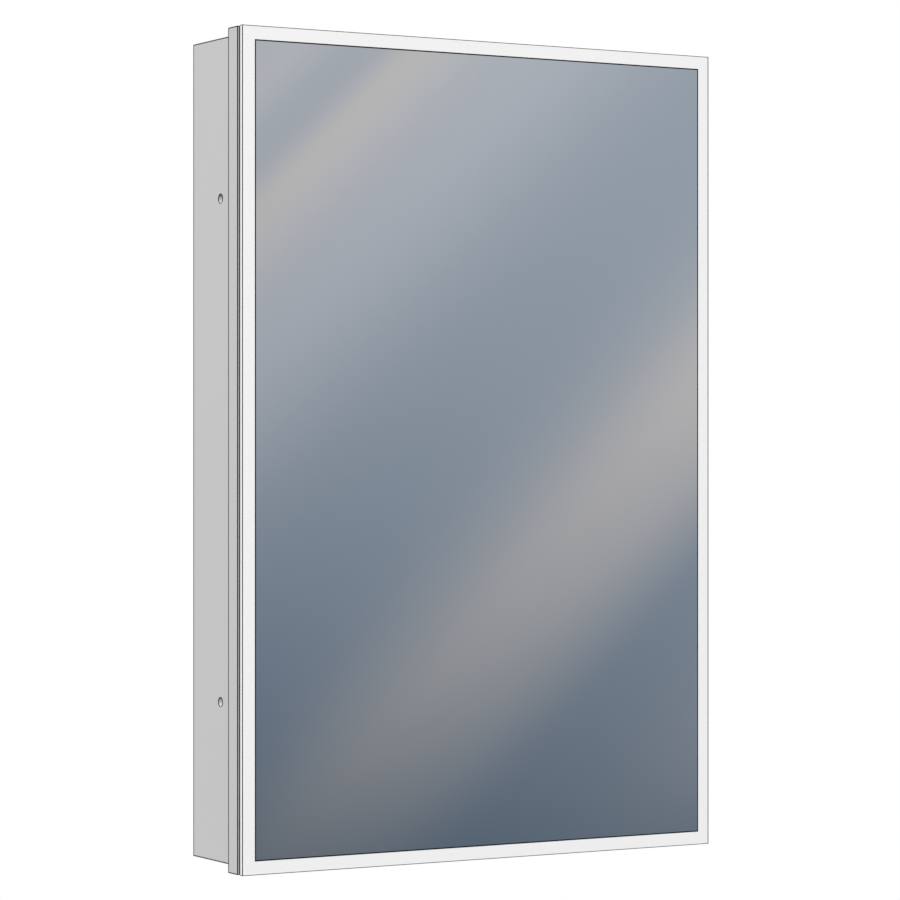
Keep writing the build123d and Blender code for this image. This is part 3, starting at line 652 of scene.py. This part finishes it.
def solids(name):
    """Boxes of the separate solids in one CAD node, in a fixed order."""
    work = bmesh.new()
    work.from_mesh(nodes[name].data)
    bmesh.ops.remove_doubles(work, verts=work.verts, dist=JOIN_DISTANCE)
    left = set(work.verts)
    boxes = []
    while left:
        stack = [left.pop()]
        points = []
        while stack:
            vertex = stack.pop()
            points.append(vertex.co.copy())
            for edge in vertex.link_edges:
                other = edge.other_vert(vertex)
                if other in left:
                    left.remove(other)
                    stack.append(other)
        low = Vector(min(p[i] for p in points) for i in range(3))
        high = Vector(max(p[i] for p in points) for i in range(3))
        boxes.append((low, high))
    work.free()
    return sorted(boxes, key=lambda box: tuple(round(value, ORDER_DIGITS) for value in box[0]))


def new_piece(name, work, surface):
    """A new object in the scene from finished mesh work."""
    mesh = bpy.data.meshes.new(name)
    work.to_mesh(mesh)
    work.free()
    mesh.materials.append(surface.material)
    piece = bpy.data.objects.new(name, mesh)
    bpy.context.scene.collection.objects.link(piece)
    return piece


def flat_piece(name, outlines, place, facing, depth, surface, body):
    """A thin closed piece: outlines on the plane at a place, from a depth below it to just above."""
    turn = Vector(facing).to_track_quat("Z", "Y").to_matrix().to_4x4()
    matrix = Matrix.Translation(place) @ turn
    work = bmesh.new()
    for outline in outlines:
        top = [work.verts.new(matrix @ Vector((u, v, PROUD))) for u, v in outline]
        foot = [work.verts.new(matrix @ Vector((u, v, -depth))) for u, v in outline]
        work.faces.new(top)
        work.faces.new(foot[::-1])
        for i in range(len(outline)):
            j = (i + 1) % len(outline)
            work.faces.new((top[i], foot[i], foot[j], top[j]))
    bmesh.ops.recalc_face_normals(work, faces=work.faces)
    piece = new_piece(name, work, surface)
    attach(piece, body)


def cross(reach, half):
    """Outline of a cross recess."""
    quarter = [(half, reach), (half, half), (reach, half)]
    points = []
    for turn in range(4):
        angle = -math.pi / 2 * turn
        cos, sin = math.cos(angle), math.sin(angle)
        points += [(u * cos - v * sin, u * sin + v * cos) for u, v in quarter]
    return points


def arc_band(inner, outer, start, end, steps):
    """Outline of a band along an arc, with its angles in degrees."""
    angles = [math.radians(start + (end - start) * i / steps) for i in range(steps + 1)]
    there = [(outer * math.cos(a), outer * math.sin(a)) for a in angles]
    back = [(inner * math.cos(a), inner * math.sin(a)) for a in reversed(angles)]
    return there + back


def bar(inner, outer, half, angle):
    """Outline of a short bar that points outward at an angle in degrees."""
    a = math.radians(angle)
    cos, sin = math.cos(a), math.sin(a)
    corners = [(inner, -half), (outer, -half), (outer, half), (inner, half)]
    return [(u * cos - v * sin, u * sin + v * cos) for u, v in corners]


def disc(radius, steps):
    """Outline of a disc."""
    turns = [2 * math.pi * i / steps for i in range(steps)]
    return [(radius * math.cos(a), radius * math.sin(a)) for a in turns]


def screw_recesses(surface):
    """Cross recesses in the heads of the screws."""
    towards = {"base_screws": (0, -1, 0), "leaf_screws": (1, 0, 0)}
    outline = cross(RECESS_REACH, RECESS_HALF)
    for name in ("base_screws", "cover_screws", "driver_screws", "leaf_screws"):
        body = "door" if name == "leaf_screws" else "cabinet"
        for number, (low, high) in enumerate(solids(name), 1):
            middle = (low + high) / 2
            half = (high - low) / 2
            facing = towards.get(name, (0, 0, -1))
            if name == "cover_screws" and half.x > half.z:
                facing = (-math.copysign(1, middle.x), 0, 0)
            place = middle + Vector(facing[i] * half[i] for i in range(3))
            flat_piece(f"{name}_recess_{number}", [outline], place, facing, RECESS_DEPTH,
                       surface, body)


def button_marks(surface):
    """Plain symbols on the two buttons: a broken ring with a bar, and a disc with rays."""
    power = [
        arc_band(RING_INNER, RING_OUTER, RING_START, RING_END, RING_STEPS),
        bar(BAR_INNER, BAR_OUTER, BAR_HALF, UPRIGHT),
    ]
    turns = [360 / RAY_COUNT * i for i in range(RAY_COUNT)]
    dimmer = [disc(DISC_RADIUS, DISC_STEPS), *(bar(RAY_INNER, RAY_OUTER, RAY_HALF, turn) for turn in turns)]
    for name, outlines in (("power_button", power), ("dimmer_button", dimmer)):
        low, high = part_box(name)
        middle = (low + high) / 2
        place = (middle.x, low.y, middle.z)
        flat_piece(f"{name}_mark", outlines, place, (0, -1, 0), MARK_DEPTH, surface, name)


def mirror_seal(surface):
    """Dark sealant in the joint between the mirror and the light border."""
    front = border_low.y + SEAL_SETBACK
    back = front + SEAL_DEPTH
    inner = SEAL_CLEARANCE
    outer = SEAL_WIDTH
    corners = ((-1, -1), (1, -1), (1, 1), (-1, 1))
    work = bmesh.new()
    rings = []
    for grow, level in ((inner, front), (outer, front), (outer, back), (inner, back)):
        x = mirror_high.x + grow
        z = mirror_high.z + grow
        rings.append([work.verts.new((side * x, level, end * z)) for side, end in corners])
    for i, ring in enumerate(rings):
        after = rings[(i + 1) % len(rings)]
        for j in range(len(corners)):
            k = (j + 1) % len(corners)
            work.faces.new((ring[j], ring[k], after[k], after[j]))
    bmesh.ops.recalc_face_normals(work, faces=work.faces)
    piece = new_piece("mirror_seal", work, surface)
    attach(piece, "door")


def make_camera():
    """The camera at the photograph's viewing angle."""
    data = bpy.data.cameras.new("camera")
    data.lens = LENS
    data.sensor_width = SENSOR
    camera = bpy.data.objects.new("camera", data)
    camera.location = CAMERA_PLACE
    camera.rotation_euler = (math.radians(90), 0, math.radians(CAMERA_TURN))
    bpy.context.scene.collection.objects.link(camera)
    bpy.context.scene.camera = camera


def add_lamp(name, place, power):
    """A soft square lamp that looks at the cabinet's middle."""
    data = bpy.data.lights.new(name, "AREA")
    data.energy = power
    data.size = LAMP_SIZE
    lamp = bpy.data.objects.new(name, data)
    lamp.location = place
    lamp.rotation_euler = (-Vector(place)).to_track_quat("-Z", "Y").to_euler()
    lamp.visible_glossy = False
    bpy.context.scene.collection.objects.link(lamp)


def seen_rays(tree):
    """1 for rays from the camera, from gloss and through glass, and 0 for the others."""
    path = tree.nodes.new("ShaderNodeLightPath").outputs
    total = path["Is Camera Ray"]
    for name in ("Is Glossy Ray", "Is Transmission Ray"):
        largest = tree.nodes.new("ShaderNodeMath")
        largest.operation = "MAXIMUM"
        tree.links.new(total, largest.inputs[0])
        tree.links.new(path[name], largest.inputs[1])
        total = largest.outputs[0]
    return total


def make_world():
    """A white studio: plain white where it is seen, softer where it lights."""
    world = bpy.data.worlds.new("studio")
    world.use_nodes = True
    bpy.context.scene.world = world
    tree = world.node_tree
    background = tree.nodes["Background"]
    background.inputs["Color"].default_value = WHITE
    strength = tree.nodes.new("ShaderNodeMapRange")
    strength.inputs["To Min"].default_value = AMBIENT
    strength.inputs["To Max"].default_value = 1.0
    tree.links.new(seen_rays(tree), strength.inputs["Value"])
    tree.links.new(strength.outputs[0], background.inputs["Strength"])


def make_floor():
    """A pale floor that fades into the white of the studio."""
    surface = Surface("pale_floor", Roughness=FLOOR_ROUGHNESS)
    grain = surface.spread(surface.noise(FLOOR_GRAIN), *FLOOR_TONE)
    surface.set("Base Color", surface.grey(grain))
    tree = surface.tree
    length = surface.node("ShaderNodeVectorMath", {0: surface.place}, operation="LENGTH")
    fade = surface.node(
        "ShaderNodeMapRange",
        {"Value": length.outputs["Value"], "From Min": FLOOR_FADE[0], "From Max": FLOOR_FADE[1]},
        interpolation_type="SMOOTHSTEP",
    ).outputs[0]
    share = surface.math("MULTIPLY", fade, seen_rays(tree))
    glow = surface.node("ShaderNodeEmission", {"Color": WHITE, "Strength": 1.0})
    shaders = {0: share, 1: surface.shader.outputs[0], 2: glow.outputs[0]}
    blend = surface.node("ShaderNodeMixShader", shaders)
    tree.links.new(blend.outputs[0], tree.nodes["Material Output"].inputs["Surface"])

    work = bmesh.new()
    bmesh.ops.create_grid(work, x_segments=FLOOR_CELLS, y_segments=FLOOR_CELLS, size=FLOOR_REACH)
    floor = new_piece("floor", work, surface)
    floor.location = (0, 0, -FLOOR_DROP)


make_camera()
make_world()
add_lamp("key_lamp", KEY_PLACE, KEY_POWER)
add_lamp("fill_lamp", FILL_PLACE, FILL_POWER)
make_floor()
rubber = dress_cabinet()["black_rubber"]
screw_recesses(rubber)
button_marks(rubber)
mirror_seal(rubber)

bpy.context.scene.view_settings.view_transform = "Standard"
